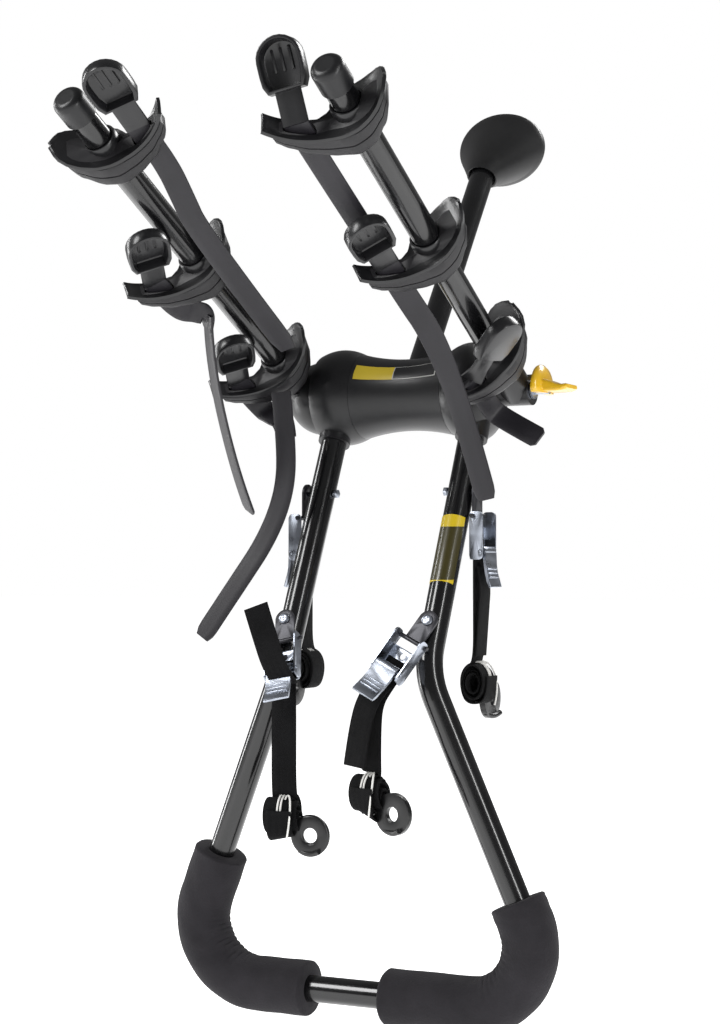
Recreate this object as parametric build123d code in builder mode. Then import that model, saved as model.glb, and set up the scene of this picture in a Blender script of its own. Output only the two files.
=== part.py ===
from build123d import *
from math import cos, radians, sin, tan
import os

# Strap-on boot rack for three bikes: a waisted hub carries a foot stay with a rubber foot, a
# U-shaped leg frame with foam pads, and two arms with three bike cradles each. Four webbing
# straps with cam buckles hold it to the car. The origin is the middle of the foot's face, which
# rests on the boot lid. +Y points at the car, +Z is up, and the hub's axis runs along X.

# Driving dimensions, millimetres
TUBE_R = 12.7             # 1 inch steel tube in the legs, the arms and the foot stay
TUBE_WALL = 2.0
HUB_Y = -240.0            # the hub's axis, in front of the foot's face
HUB_Z = -291.0            # the hub's axis, below the middle of the foot's face
HUB_WAIST_R = 36.0
HUB_SEAM_R = 42.5
HUB_BULB_R = 48.5
HUB_SEAM_X = 50.0         # from the middle to the seam between the hub's shells
HUB_SHELL_X = 93.0        # from the middle to the outer end of a leg shell
HUB_END_X = 131.0         # from the middle to the outer end of an arm socket
SHELL_GAP = 0.35          # between shells that turn against each other
SHELL_WALL = 4.0
SLEEVE_R = 10.0           # steel sleeve that the shells turn on
AXLE_R = 5.0
RUNNING_GAP = 0.05        # radial clearance of a bearing
LEVER_X = 143.0           # the release lever's pin, from the hub's middle
LEVER_PIN_R = 2.0
LEVER_R = 25.0
STAY_LENGTH = 312.0       # hub axis to the end of the foot stay
STAY_RISE = 54.5          # degrees above level
FOOT_WIDTH = 100.0
FOOT_HEIGHT = 80.0
LEG_X = 75.5              # the leg tubes at the hub
KINK = (76.0, -127.0, -272.0)       # the leg's bend, from the hub's middle
CORNER = (203.0, -108.0, -577.0)    # the frame's lower corner, from the hub's middle
KINK_R = 80.0
CORNER_R = 60.0
PAD_R = 26.5
PAD_ENDS = {"left": (137.0, 147.0), "right": (108.0, 176.0)}    # up the leg, along the bar
ARM_X = 115.0             # the arm tubes at the hub
ARM_SPLAY = 10.0          # how much further out the arm's tip is
ARM_RISE = 28.3           # degrees above level
ARM_LENGTH = 478.0
CAP_R = 14.6
CAP_LENGTH = 26.0
STRAP_WIDTH = 22.0        # rubber strap of a cradle
STRAP_THICK = 3.0
WEB_WIDTH = 25.4          # 1 inch webbing
WEB_THICK = 1.6

HUB = Vector(0, HUB_Y, HUB_Z)
HUB_AXIS = Axis(HUB, (1, 0, 0))
HUB_PLANE = Plane(origin=HUB, x_dir=(1, 0, 0), z_dir=(0, -1, 0))
X_AXIS = Vector(1, 0, 0)
SIDES = {"left": -1, "right": 1}


def at_hub(x, y, z):
    """A point given from the hub's middle."""
    return HUB + Vector(x, y, z)


def mirrored(point, side):
    """A point of the right-hand side, put on the given side."""
    return at_hub(side * point[0], point[1], point[2])


def along(start, direction, distance=0.0):
    """A plane square to a direction, at a distance along it."""
    direction = direction.normalized()
    return Plane(origin=start + direction * distance, z_dir=direction)


def save(piece, name):
    piece.part.label = name
    export_step(piece.part, f"parts/{name}.step")


os.makedirs("parts", exist_ok=True)

# ---------------------------------------------------------------- hub and foot
STAY_DIRECTION = Vector(0, cos(radians(STAY_RISE)), sin(radians(STAY_RISE)))
STAY_END = HUB + STAY_DIRECTION * STAY_LENGTH

with BuildPart() as foot_stay:
    with BuildSketch(Plane(origin=at_hub(-HUB_END_X, 0, 0), z_dir=X_AXIS)):
        Circle(SLEEVE_R)
    extrude(amount=2 * HUB_END_X)
    with BuildSketch(along(HUB, STAY_DIRECTION)):
        Circle(TUBE_R)
    extrude(amount=STAY_LENGTH)
    with BuildSketch(along(HUB, STAY_DIRECTION, SLEEVE_R + 1)):
        Circle(TUBE_R - TUBE_WALL)
    extrude(amount=STAY_LENGTH, mode=Mode.SUBTRACT)
    with BuildSketch(Plane(origin=at_hub(-HUB_END_X, 0, 0), z_dir=X_AXIS)):
        Circle(AXLE_R)
    extrude(amount=2 * HUB_END_X, mode=Mode.SUBTRACT)
save(foot_stay, "foot_stay")

with BuildPart() as hub_axle:
    with BuildSketch(Plane(origin=at_hub(-HUB_END_X - 8, 0, 0), z_dir=X_AXIS)):
        Circle(AXLE_R - RUNNING_GAP)
    extrude(amount=HUB_END_X + 8 + LEVER_X + 6)
    for nut_x in (-HUB_END_X - 3, HUB_END_X + 0.4):
        with BuildSketch(Plane(origin=at_hub(nut_x, 0, 0), z_dir=X_AXIS)):
            Circle(SLEEVE_R - 1)
        extrude(amount=2.6)
    with BuildSketch(Plane(origin=at_hub(LEVER_X, 10, 0), z_dir=(0, -1, 0))):
        Circle(LEVER_PIN_R + RUNNING_GAP)
    extrude(amount=20, mode=Mode.SUBTRACT)
save(hub_axle, "hub_axle")

# Release lever on the axle's right end: an upright half disc and a handle that points outwards
LEVER_SIDE = Plane(origin=at_hub(0, 0, 0), x_dir=(1, 0, 0), z_dir=(0, -1, 0))
with BuildPart() as release_lever:
    with BuildSketch(Plane(origin=at_hub(LEVER_X - 5, 0, 0), x_dir=(0, 1, 0), z_dir=X_AXIS)):
        Circle(LEVER_R)
        with Locations((0, LEVER_R / 2 - 4)):
            Rectangle(2 * LEVER_R, LEVER_R + 8, mode=Mode.INTERSECT)
    extrude(amount=9)
    with BuildSketch(LEVER_SIDE):
        with BuildLine():
            Polyline(
                (LEVER_X - 5, -8), (LEVER_X - 5, 12), (LEVER_X + 6, 14), (LEVER_X + 16, 4),
                (LEVER_X + 29, 3), (LEVER_X + 29, -3), (LEVER_X + 12, -5), (LEVER_X - 5, -8),
            )
        make_face()
    extrude(amount=15, both=True)
    with BuildSketch(LEVER_SIDE):
        with Locations((LEVER_X, -2)):
            Rectangle(18, 22)
    extrude(amount=AXLE_R + 0.6, both=True, mode=Mode.SUBTRACT)
    with BuildSketch(Plane(origin=at_hub(LEVER_X, 13, 0), z_dir=(0, -1, 0))):
        Circle(LEVER_PIN_R)
    extrude(amount=26)
save(release_lever, "release_lever")

with BuildPart() as hub_shell:
    with BuildSketch(HUB_PLANE):
        with BuildLine():
            ThreePointArc((-HUB_SEAM_X, HUB_SEAM_R), (0, HUB_WAIST_R), (HUB_SEAM_X, HUB_SEAM_R))
            Line((HUB_SEAM_X, HUB_SEAM_R), (HUB_SEAM_X, HUB_SEAM_R - SHELL_WALL))
            ThreePointArc(
                (HUB_SEAM_X, HUB_SEAM_R - SHELL_WALL),
                (0, HUB_WAIST_R - SHELL_WALL),
                (-HUB_SEAM_X, HUB_SEAM_R - SHELL_WALL),
            )
            Line((-HUB_SEAM_X, HUB_SEAM_R - SHELL_WALL), (-HUB_SEAM_X, HUB_SEAM_R))
        make_face()
        for web_x in (-HUB_SEAM_X + 12, HUB_SEAM_X - 12):
            with Locations((web_x, (SLEEVE_R + HUB_WAIST_R) / 2)):
                Rectangle(SHELL_WALL, HUB_WAIST_R - SLEEVE_R)
    revolve(axis=HUB_AXIS)
    with BuildSketch(along(HUB, STAY_DIRECTION, HUB_WAIST_R / 2)):
        Circle(TUBE_R)
    extrude(amount=HUB_WAIST_R, mode=Mode.SUBTRACT)
save(hub_shell, "hub_shell")

with BuildPart() as foot_pad:
    with BuildSketch(along(STAY_END, STAY_DIRECTION, -4)):
        Circle(TUBE_R + 4.3)
    with BuildSketch(Plane(origin=(0, -9, 0), x_dir=(1, 0, 0), z_dir=(0, 1, 0))):
        Ellipse(FOOT_WIDTH / 2, FOOT_HEIGHT / 2)
    loft()
    with BuildSketch(Plane(origin=(0, -9, 0), x_dir=(1, 0, 0), z_dir=(0, 1, 0))):
        Ellipse(FOOT_WIDTH / 2, FOOT_HEIGHT / 2)
    extrude(amount=9)
    with BuildSketch(along(STAY_END, STAY_DIRECTION, -8)):
        Circle(TUBE_R)
    extrude(amount=8, mode=Mode.SUBTRACT)
save(foot_pad, "foot_pad")


# ---------------------------------------------------------------- leg frame
def leg_direction(side):
    return (mirrored(KINK, side) - mirrored((LEG_X, 0, 0), side)).normalized()


def leg_point(side, distance):
    """A point on the upper leg's centre line, by its distance from the hub's axis."""
    return mirrored((LEG_X, 0, 0), side) + leg_direction(side) * distance


LEG_START = SLEEVE_R + RUNNING_GAP + SHELL_WALL
LEG_SOCKET_R = TUBE_R + 3.3
LEG_SHELL_END_R = {"left": 44.0, "right": 30.0}
for name, side in SIDES.items():
    seam = side * (HUB_SEAM_X + SHELL_GAP)
    end = side * HUB_SHELL_X
    inside = side * (HUB_SHELL_X - SHELL_WALL)
    bulb = side * LEG_X
    bore = SLEEVE_R + RUNNING_GAP
    end_r = LEG_SHELL_END_R[name]
    with BuildPart() as leg_shell:
        with BuildSketch(HUB_PLANE):
            with BuildLine():
                Polyline(
                    (seam, HUB_SEAM_R),
                    (seam, HUB_SEAM_R - SHELL_WALL),
                    (bulb, HUB_BULB_R - SHELL_WALL - 2),
                    (inside, end_r - SHELL_WALL - 4),
                    (inside, bore + SHELL_WALL),
                    (seam, bore + SHELL_WALL),
                    (seam, bore),
                    (end, bore),
                    (end, end_r),
                )
                Spline((end, end_r), (bulb, HUB_BULB_R), (seam, HUB_SEAM_R))
            make_face()
        revolve(axis=HUB_AXIS)
        with BuildSketch(along(leg_point(side, 0), leg_direction(side), 30)):
            Circle(LEG_SOCKET_R)
        extrude(amount=HUB_BULB_R - 26)
        with BuildSketch(along(leg_point(side, 0), leg_direction(side), LEG_START)):
            Circle(TUBE_R)
        extrude(amount=HUB_BULB_R + 20, mode=Mode.SUBTRACT)
    save(leg_shell, f"leg_shell_{name}")

left_top, right_top = leg_point(-1, LEG_START), leg_point(1, LEG_START)
left_kink, right_kink = mirrored(KINK, -1), mirrored(KINK, 1)
left_corner, right_corner = mirrored(CORNER, -1), mirrored(CORNER, 1)
SCREW_R = 2.5
UPPER_SCREW = 110.0       # down the leg from the hub's axis
LOWER_SCREW = 254.0
FRONT = leg_direction(1).cross(X_AXIS).normalized()      # square to the upper leg, forwards

with BuildPart() as leg_frame:
    with BuildLine() as leg_path:
        FilletPolyline(
            left_top, left_kink, left_corner, right_corner, right_kink, right_top,
            radius=[KINK_R, CORNER_R, CORNER_R, KINK_R],
        )
    with BuildSketch(along(left_top, leg_direction(-1))):
        Circle(TUBE_R)
        Circle(TUBE_R - TUBE_WALL, mode=Mode.SUBTRACT)
    sweep()
    for side in SIDES.values():
        with BuildSketch(Plane(origin=leg_point(side, UPPER_SCREW) - X_AXIS * 20, z_dir=X_AXIS)):
            Circle(SCREW_R)
        extrude(amount=40, mode=Mode.SUBTRACT)
        with BuildSketch(along(leg_point(side, LOWER_SCREW), FRONT, -20)):
            Circle(SCREW_R)
        extrude(amount=40, mode=Mode.SUBTRACT)
save(leg_frame, "leg_frame")


def pad_path(name, side):
    """The frame's own centre line round one lower corner."""
    up_leg, along_bar = PAD_ENDS[name]
    corner = mirrored(CORNER, side)
    leg_end = corner + (mirrored(KINK, side) - corner).normalized() * up_leg
    return leg_end, corner, corner - X_AXIS * side * along_bar


for name, side in SIDES.items():
    with BuildPart() as foam_pad:
        pad_start, pad_corner, pad_end = pad_path(name, side)
        with BuildLine() as pad_line:
            FilletPolyline(pad_start, pad_corner, pad_end, radius=CORNER_R)
        with BuildSketch(along(pad_start, pad_corner - pad_start)):
            Circle(PAD_R)
            Circle(TUBE_R, mode=Mode.SUBTRACT)
        sweep()
    save(foam_pad, f"foam_pad_{name}")

# Screws that fasten the strap brackets: a shank through the tube, a pan head and a nut
PLATE_THICK = 2.5
SCREW_HEAD_R = 5.5
with BuildPart() as leg_screws:
    for side in SIDES.values():
        for distance, direction in ((UPPER_SCREW, X_AXIS * side), (LOWER_SCREW, FRONT)):
            middle = leg_point(side, distance)
            with BuildSketch(along(middle, direction, -TUBE_R - 3)):
                Circle(SCREW_R)
            extrude(amount=2 * TUBE_R + 6 + PLATE_THICK)
            with BuildSketch(along(middle, direction, TUBE_R + 3 + PLATE_THICK)):
                Circle(SCREW_HEAD_R)
            extrude(amount=2.4)
            with BuildSketch(along(middle, direction, -TUBE_R - 5)):
                RegularPolygon(4.6, 6)
            extrude(amount=4)
save(leg_screws, "leg_screws")


# ---------------------------------------------------------------- arms
def arm_root(side):
    return at_hub(side * ARM_X, 0, 0)


def arm_direction(side):
    reach = ARM_LENGTH * cos(radians(ARM_RISE))
    rise = ARM_LENGTH * sin(radians(ARM_RISE))
    return Vector(side * ARM_SPLAY, -reach, rise).normalized()


ARM_START = 17.0
DRUM_R = 15.0
SOCKET_R = TUBE_R + 3.3
LEFT_CAP_R = 37.0
for name, side in SIDES.items():
    inner_x = side * (HUB_SHELL_X + SHELL_GAP)
    outer_x = side * HUB_END_X
    direction = arm_direction(side)
    with BuildPart() as arm_socket:
        with BuildSketch(HUB_PLANE):
            with Locations(((inner_x + outer_x) / 2, (SLEEVE_R + RUNNING_GAP + DRUM_R) / 2)):
                Rectangle(HUB_END_X - HUB_SHELL_X - SHELL_GAP, DRUM_R - SLEEVE_R - RUNNING_GAP)
            if name == "left":
                with BuildLine():
                    Polyline((outer_x, DRUM_R), (inner_x, DRUM_R), (inner_x, LEFT_CAP_R))
                    ThreePointArc(
                        (inner_x, LEFT_CAP_R),
                        ((inner_x + outer_x) / 2, LEFT_CAP_R - 3),
                        (outer_x, DRUM_R),
                    )
                make_face()
        revolve(axis=HUB_AXIS)
        with BuildSketch(along(arm_root(side), direction)):
            Circle(SOCKET_R)
        extrude(amount=ARM_START + 16)
        with BuildSketch(along(arm_root(side), direction, ARM_START)):
            Circle(TUBE_R)
        extrude(amount=40, mode=Mode.SUBTRACT)
        with BuildSketch(Plane(origin=at_hub(-HUB_END_X - 5, 0, 0), z_dir=X_AXIS)):
            Circle(SLEEVE_R + RUNNING_GAP)
        extrude(amount=2 * HUB_END_X + 10, mode=Mode.SUBTRACT)
        split(bisect_by=Plane(origin=at_hub(inner_x, 0, 0), z_dir=X_AXIS * side), keep=Keep.TOP)
    save(arm_socket, f"arm_socket_{name}")

    with BuildPart() as arm_tube:
        with BuildSketch(along(arm_root(side), direction, ARM_START)):
            Circle(TUBE_R)
            Circle(TUBE_R - TUBE_WALL, mode=Mode.SUBTRACT)
        extrude(amount=ARM_LENGTH - ARM_START - 5)
    save(arm_tube, f"arm_tube_{name}")

    with BuildPart() as arm_cap:
        with BuildSketch(along(arm_root(side), direction, ARM_LENGTH - CAP_LENGTH)):
            Circle(CAP_R)
        extrude(amount=CAP_LENGTH)
        fillet(arm_cap.edges().filter_by(GeomType.CIRCLE).sort_by_distance(HUB)[-1], 7)
        with BuildSketch(along(arm_root(side), direction, ARM_LENGTH - CAP_LENGTH)):
            Circle(TUBE_R)
        extrude(amount=CAP_LENGTH - 5, mode=Mode.SUBTRACT)
    save(arm_cap, f"arm_cap_{name}")


# ---------------------------------------------------------------- bike cradles
# A cradle turns on its arm tube. Its own X runs from the square end to the tongue, its own Z
# runs along the arm to the tip, and its origin is on the arm's axis, level with the rim's ends.
SADDLE_R = 65.0           # inside radius of the saddle's trough
SADDLE_THICK = 3.0
SADDLE_BACK = 67.0        # square end, from the arm's axis
SADDLE_TONGUE = 38.5      # tongue's tip, from the arm's axis
TROUGH_X = -14.25
TROUGH_Z = 38.0
CRADLE_BORE_R = TUBE_R + RUNNING_GAP
SLOT_X = -42.0
SLOT_Y = -15.0
CRADLES = {
    # name: side, distance up the arm, turn about the arm, hand
    "right_1": (1, 449.0, 14.0, 1),
    "right_2": (1, 268.0, 34.0, 1),
    "right_3": (1, 98.0, 62.0, 1),
    "left_1": (-1, 439.0, -21.6, 1),
    "left_2": (-1, 268.0, 148.0, -1),
    "left_3": (-1, 98.0, 150.0, -1),
}
# Each strap's head, in its cradle's own axes: the way its stem points, the way its width runs
HEADS = {
    "right_1": ((0, 0.81, 0.59), (1, 0, 0)),
    "right_2": ((0, -0.14, 0.99), (1, 0, 0)),
    "right_3": ((0.75, -0.35, 0.56), (-0.55, 0, 0.75)),
    "left_1": ((0, 0.1, 0.995), (1, 0, 0)),
    "left_2": ((0.35, -0.15, 0.92), (1, 0, 0)),
    "left_3": ((0.35, -0.15, 0.92), (1, 0, 0)),
}


def cradle_axes(side, turn):
    """A cradle's own X and Y, square to the arm's rise in the middle plane."""
    outward = X_AXIS * side
    upward = Vector(0, sin(radians(ARM_RISE)), cos(radians(ARM_RISE)))
    across = outward * cos(radians(turn)) + upward * sin(radians(turn))
    over = upward * cos(radians(turn)) - outward * sin(radians(turn))
    return across, over


def cradle_plane(side, distance, turn):
    origin = arm_root(side) + arm_direction(side) * distance
    across, over = cradle_axes(side, turn)
    return Plane(origin=origin, x_dir=across, z_dir=arm_direction(side))


def cradle_point(name, x, y, z):
    """A point given in a cradle's own axes."""
    side, distance, turn, hand = CRADLES[name]
    plane = cradle_plane(side, distance, turn)
    return plane.origin + plane.x_dir * x + plane.y_dir * (y * side * hand) + plane.z_dir * z


def trough_side_plane(plane):
    """The plane through a cradle's X and Z."""
    return Plane(origin=plane.origin, x_dir=plane.x_dir, z_dir=-plane.y_dir)


for name, (side, distance, turn, hand) in CRADLES.items():
    plane = cradle_plane(side, distance, turn)
    section = trough_side_plane(plane)
    flip = side * hand
    with BuildPart() as saddle:
        with BuildSketch(section):
            with Locations((TROUGH_X, TROUGH_Z)):
                Circle(SADDLE_R + SADDLE_THICK)
                Circle(SADDLE_R, mode=Mode.SUBTRACT)
            with Locations((TROUGH_X, TROUGH_Z - SADDLE_R / 2 - 38)):
                Rectangle(200, SADDLE_R + 76, mode=Mode.INTERSECT)
        extrude(amount=40, both=True)
        with BuildSketch(plane.offset(-60)):
            with Locations((6, -2 * flip)):
                Circle(26)
            with Locations((18, 0)):
                Rectangle(2 * (SADDLE_TONGUE - 18), 40)
            with Locations((-SADDLE_BACK / 2, -14 * flip)):
                Rectangle(SADDLE_BACK, 22)
        extrude(amount=80, mode=Mode.INTERSECT)
        with BuildSketch(plane.offset(-40)):
            Circle(TUBE_R + 3.4)
        extrude(amount=24)
        with BuildSketch(plane.offset(-90)):
            Circle(CRADLE_BORE_R)
            with Locations((SLOT_X, SLOT_Y * flip)):
                Rectangle(24, 6)
        extrude(amount=120, mode=Mode.SUBTRACT)
    save(saddle, f"cradle_saddle_{name}")

    with BuildPart() as rubber:
        with BuildSketch(section):
            with BuildLine():
                ThreePointArc((-62, 6), (TROUGH_X, -27 - SADDLE_THICK), (34, 6))
                Line((34, 6), (32, -24))
                ThreePointArc((32, -24), (-4, -58), (-56, -26))
                Line((-56, -26), (-62, 6))
            make_face()
        extrude(amount=40, both=True)
        with BuildSketch(plane.offset(-80)):
            with Locations((6, -2 * flip)):
                Circle(23)
            with Locations((18, 0)):
                Rectangle(2 * (SADDLE_TONGUE - 22), 33)
            with Locations((-SADDLE_BACK / 2 + 2, -14 * flip)):
                Rectangle(SADDLE_BACK - 6, 17)
        extrude(amount=100, mode=Mode.INTERSECT)
        with BuildSketch(plane.offset(-90)):
            Circle(TUBE_R + 3.4)
            with Locations((SLOT_X, SLOT_Y * flip)):
                Rectangle(24, 6)
        extrude(amount=120, mode=Mode.SUBTRACT)
        with BuildSketch(section):
            with Locations((TROUGH_X, TROUGH_Z)):
                Circle(SADDLE_R + SADDLE_THICK)
        extrude(amount=50, both=True, mode=Mode.SUBTRACT)
    save(rubber, f"cradle_rubber_{name}")


# Rubber straps: a scoop-shaped head on a stem, and a tail that hangs from the cradle
def ribbon_planes(points, widths):
    """Planes square to a run of points, turned so that each plane's X follows the strap's width."""
    planes = []
    for i, point in enumerate(points):
        before = points[max(i - 1, 0)]
        after = points[min(i + 1, len(points) - 1)]
        forward = (after - before).normalized()
        width = widths[min(i, len(widths) - 1)]
        square = width - forward * width.dot(forward)
        planes.append(Plane(origin=point, x_dir=square, z_dir=forward))
    return planes


def in_cradle(name, *points):
    return [cradle_point(name, *point) for point in points]


TAILS = {
    "right_1": in_cradle("right_1", (-42, -15, -30), (-42, -15, -60), (-42, -10, -318)),
    "right_2": in_cradle("right_2", (-42, -15, -30), (-42, -16, -60))
    + [at_hub(105, -180, 40), at_hub(109, -144, 0), at_hub(119, -124, -52), at_hub(131, -112, -111)],
    "right_3": in_cradle(
        "right_3", (-42, -15, -30), (-42, -16, -60), (-42, -28, -70), (-41, -72, -76)
    ),
    "left_1": in_cradle(
        "left_1", (-42, -15, -30), (-42, -16, -60), (-38, -24, -94), (-32, -32, -134),
        (-30, -33, -320),
    ),
    "left_2": [
        at_hub(-124, -187, 68), at_hub(-130, -177, 46), at_hub(-136, -150, -11),
        at_hub(-137, -110, -85), at_hub(-140, -80, -117),
    ],
    "left_3": [
        at_hub(-98, -92, 0), at_hub(-94, -88, -49), at_hub(-94, -90, -97),
        at_hub(-111, -95, -144), at_hub(-141, -105, -191), at_hub(-174, -115, -242),
    ],
}
TAIL_WIDTHS = {
    "right_3": [cradle_axes(1, 62.0)[0]],
    "left_2": [Vector(0.74, -0.67, 0)],
    "left_3": [X_AXIS],
    "right_2": [cradle_axes(1, 34.0)[0], cradle_axes(1, 34.0)[0], X_AXIS],
    "right_1": [cradle_axes(1, 14.0)[0]],
    "left_1": [cradle_axes(-1, -21.6)[0]],
}

for name, (stem_way, width_way) in HEADS.items():
    flip = CRADLES[name][0] * CRADLES[name][3]
    middle = cradle_point(name, 0, 0, 0)
    across = cradle_point(name, 1, 0, 0) - middle
    tip = cradle_point(name, 0, 0, 1) - middle
    lean = (cradle_point(name, *stem_way) - middle).normalized()
    width = cradle_point(name, *width_way) - middle
    width = width - lean * width.dot(lean)
    stem_root = cradle_point(name, SLOT_X, SLOT_Y, -10)
    with BuildPart() as strap:
        with BuildSketch(Plane(origin=stem_root - tip * 25, x_dir=across, z_dir=tip)):
            Rectangle(STRAP_WIDTH + 0.6, STRAP_THICK + 0.6)
        extrude(amount=27)
        with BuildSketch(Plane(origin=stem_root, x_dir=width, z_dir=lean)):
            Rectangle(24, STRAP_THICK)
        extrude(amount=30)
        with BuildSketch(Plane(origin=stem_root + lean * 27, x_dir=width, z_dir=lean)):
            Rectangle(40, 13)
        extrude(amount=46)
        with BuildSketch(Plane(origin=stem_root + lean * 32, x_dir=width, z_dir=lean)):
            with Locations((0, -3 * flip)):
                Rectangle(32, 11)
        extrude(amount=36, mode=Mode.SUBTRACT)
        for plane in ribbon_planes(TAILS[name], TAIL_WIDTHS[name]):
            with BuildSketch(plane):
                Rectangle(STRAP_WIDTH, STRAP_THICK)
        loft(ruled=True)
    save(strap, f"cradle_strap_{name}")


# ---------------------------------------------------------------- anchor straps
# A bracket is screwed to the leg, a cam buckle hangs from its bar, and 1 inch webbing runs
# from the cam to a rolled end with its hook. Each strap's own X runs down along the strap and
# its own Z points away from the leg.
BRACKET_WIDTH = 20.0
BRACKET_BAR = 24.0        # screw to bar
BAR_R = 2.2
BUCKLE_INSIDE = 30.0
BUCKLE_WALL = 1.5
BUCKLE_LENGTH = 46.0
CAM_X = 58.0
CAM_Z = 11.0
CAM_PIN_R = 1.5
WEB_Z = BUCKLE_WALL + 0.3 + WEB_THICK / 2
DOWN = Vector(0, 0, -1)
ANCHORS = {
    # name: side, distance down the leg, direction of the screw, lean inwards, webbing's drop
    "right_upper": (1, UPPER_SCREW, X_AXIS, 0.0, 72.0),
    "left_upper": (-1, UPPER_SCREW, -X_AXIS, 0.0, 62.0),
    "right_lower": (1, LOWER_SCREW, FRONT, 27.0, 66.0),
    "left_lower": (-1, LOWER_SCREW, FRONT, 13.0, 84.0),
}


def anchor_plane(name):
    """An anchor strap's own plane: X down the strap, Z out from the leg."""
    side, distance, outward, lean, drop = ANCHORS[name]
    origin = leg_point(side, distance) + outward * (TUBE_R + 3)
    level = DOWN.cross(outward).normalized()
    below = outward.cross(level).normalized()
    if below.dot(DOWN) < 0:
        below = below * -1
    down = below * cos(radians(lean)) - X_AXIS * side * sin(radians(lean))
    return Plane(origin=origin, x_dir=down, z_dir=outward)


def anchor_section(name, y):
    """The plane through an anchor strap's X and Z, at a distance across it."""
    plane = anchor_plane(name)
    return Plane(origin=plane.origin + plane.y_dir * y, x_dir=plane.x_dir, z_dir=-plane.y_dir)


for name, (side, distance, outward, lean, drop) in ANCHORS.items():
    plane = anchor_plane(name)
    with BuildPart() as bracket:
        with BuildSketch(plane):
            Circle(BRACKET_WIDTH / 2)
            with Locations((BRACKET_BAR / 2, 0)):
                Rectangle(BRACKET_BAR, BRACKET_WIDTH)
        extrude(amount=PLATE_THICK)
        with BuildSketch(plane.offset(-1)):
            Circle(SCREW_R + RUNNING_GAP)
        extrude(amount=PLATE_THICK + 2, mode=Mode.SUBTRACT)
        with BuildSketch(anchor_section(name, -BUCKLE_INSIDE / 2 - 4)):
            with Locations((BRACKET_BAR, BAR_R + 1)):
                Circle(BAR_R)
        extrude(amount=-BUCKLE_INSIDE - 8)
    save(bracket, f"anchor_bracket_{name}")

    with BuildPart() as buckle:
        for cheek_y in (-BUCKLE_INSIDE / 2 - BUCKLE_WALL, BUCKLE_INSIDE / 2):
            with BuildSketch(anchor_section(name, cheek_y)):
                with Locations((BRACKET_BAR + BUCKLE_LENGTH / 2 - 4, 7)):
                    RectangleRounded(BUCKLE_LENGTH, 14, 4)
                with Locations((BRACKET_BAR, BAR_R + 1)):
                    Circle(BAR_R, mode=Mode.SUBTRACT)
                with Locations((CAM_X, CAM_Z)):
                    Circle(CAM_PIN_R + RUNNING_GAP, mode=Mode.SUBTRACT)
            extrude(amount=-BUCKLE_WALL)
        with BuildSketch(plane):
            with Locations((BRACKET_BAR + BUCKLE_LENGTH / 2 + 3, 0)):
                Rectangle(BUCKLE_LENGTH - 14, BUCKLE_INSIDE + 0.2)
        extrude(amount=BUCKLE_WALL)
    save(buckle, f"cam_buckle_{name}")

    with BuildPart() as lever:
        with BuildSketch(anchor_section(name, -BUCKLE_INSIDE / 2 - BUCKLE_WALL - 0.8)):
            with Locations((CAM_X, CAM_Z)):
                Circle(CAM_PIN_R)
        extrude(amount=-BUCKLE_INSIDE - 2 * BUCKLE_WALL - 1.6)
        with BuildSketch(anchor_section(name, -13)):
            with Locations((CAM_X, CAM_Z)):
                Circle(4.8)
            with BuildLine():
                Polyline(
                    (CAM_X, CAM_Z + 4.5), (CAM_X + 34, CAM_Z + 8), (CAM_X + 34, CAM_Z + 5.6),
                    (CAM_X, CAM_Z + 1), (CAM_X, CAM_Z + 4.5),
                )
            make_face()
        extrude(amount=-26)
    save(lever, f"cam_lever_{name}")

    run = [
        plane.from_local_coords(Vector(CAM_X - 12, 0, WEB_Z)),
        plane.from_local_coords(Vector(CAM_X + 18, 0, WEB_Z)),
        plane.from_local_coords(Vector(CAM_X + 30, 0, WEB_Z)) + DOWN * 3,
        plane.from_local_coords(Vector(CAM_X + 34, 0, WEB_Z)) + DOWN * 18,
        plane.from_local_coords(Vector(CAM_X + 34, 0, WEB_Z)) + DOWN * drop,
    ]
    across = plane.y_dir
    with BuildPart() as webbing:
        for station in ribbon_planes(run, [across]):
            with BuildSketch(station):
                Rectangle(WEB_WIDTH, WEB_THICK)
        loft(ruled=True)
    save(webbing, f"webbing_{name}")

    level = across - DOWN * across.dot(DOWN)
    hanging = Plane(origin=run[-1], x_dir=DOWN, z_dir=level.cross(DOWN) * -1)
    with BuildPart() as bundle:
        with BuildSketch(Plane(origin=run[-1] - hanging.y_dir * 14, x_dir=DOWN, z_dir=hanging.y_dir)):
            with Locations((19.2, 0)):
                Ellipse(19, 13)
        extrude(amount=28)
        with BuildSketch(hanging.offset(-3)):
            with Locations((36, 27)):
                Circle(20)
                Circle(7, mode=Mode.SUBTRACT)
            with Locations((26, 8)):
                Rectangle(16, 20)
        extrude(amount=6)
    save(bundle, f"hook_bundle_{name}")
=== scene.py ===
"""Strap-on boot rack for three bikes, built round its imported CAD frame."""

from math import acos, cos, pi, radians, sin, sqrt

import bpy
from mathutils import Matrix, Vector


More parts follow.
